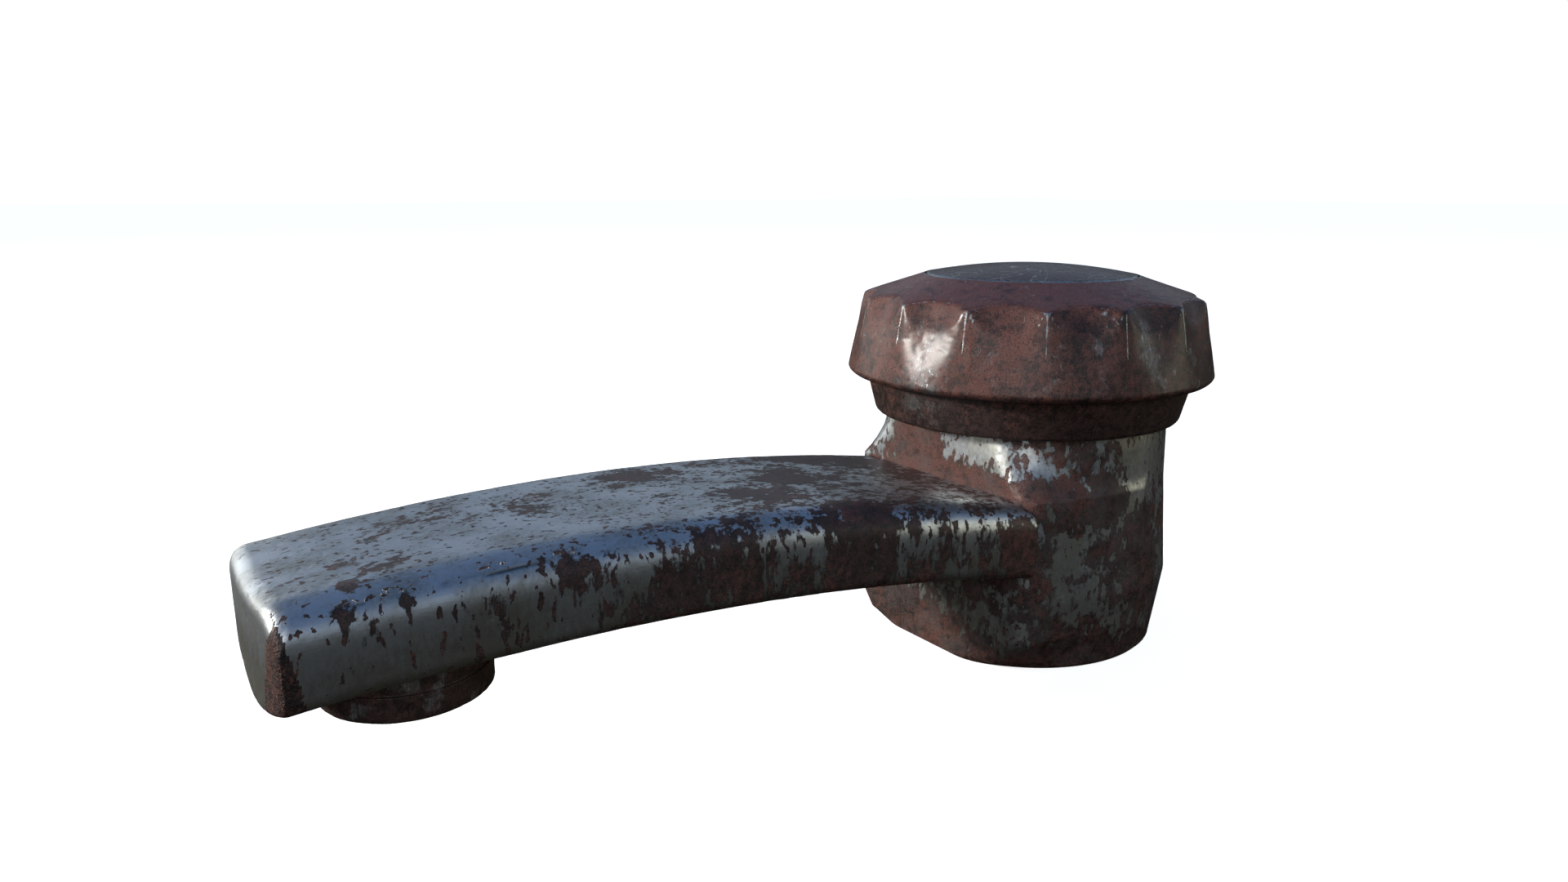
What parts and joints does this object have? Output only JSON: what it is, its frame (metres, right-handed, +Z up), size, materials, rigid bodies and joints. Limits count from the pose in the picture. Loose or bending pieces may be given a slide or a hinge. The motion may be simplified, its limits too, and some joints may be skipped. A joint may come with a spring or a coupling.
{
  "type": "pillar tap",
  "caption": "Low pillar tap with a fixed arched spout, a bell shroud and a fluted knob that screws a washer valve open and shut.",
  "frame": {"origin": "centre of the base face, on the axis of the body and the inlet hole", "axes": "+Z up along the body's axis, out of the deck; -Y along the spout towards the outlet; +X to the side"},
  "size_m": [0.064, 0.1624, 0.0663],
  "materials": {
    "body_casting": "rusted, with patches of bare worn metal",
    "spout_steel": "bare worn steel with flakes of rust",
    "shroud_iron": "dark rust all over",
    "knob_iron": "reddish rust with worn pale edges",
    "cap_iron": "rust with fine scratches",
    "rusted_fittings": "dark rust with grey-green patches",
    "brass_parts": "turned, dull",
    "rubber_seals": "matt",
    "plastic_inner": "moulded",
    "screen_wire": "fine wire",
    "fixing_steel": "plated screw and washer"
  },
  "bodies": {
    "root": {"body": "body_casting", "spout": "spout_steel", "spout_spigot": "brass_parts", "outlet_housing": "rusted_fittings", "aerator_washer": "rubber_seals", "aerator_insert": "plastic_inner", "aerator_screen": "screen_wire", "base_seal": "rubber_seals", "valve_seat": "brass_parts", "headgear_body": "brass_parts", "headgear_seal": "rubber_seals", "thrust_washer": "plastic_inner", "gland_nut": "brass_parts", "bonnet_shroud": "shroud_iron", "shroud_locknut": "brass_parts"},
    "knob": {"knob": "knob_iron", "knob_cap": "cap_iron", "knob_screw": "fixing_steel", "knob_screw_washer": "fixing_steel", "spindle": "brass_parts", "spindle_o_rings": "rubber_seals"},
    "valve": {"valve_plunger": "brass_parts", "valve_washer": "rubber_seals", "washer_screw": "brass_parts"}
  },
  "joints": [
    {"name": "knob_turn", "type": "hinge", "parent": "root", "child": "knob", "pos_m": [0, 0, 0.05], "axis": [0, 0, 1], "range_deg": [0, 540]},
    {"name": "valve_lift", "type": "slide", "parent": "root", "child": "valve", "axis": [0, 0, 1], "range_m": [0, 0.00375]}
  ],
  "couplings": [
    {"joint": "valve_lift", "follows": "knob_turn", "m_per_rad": 0.00039789}
  ]
}
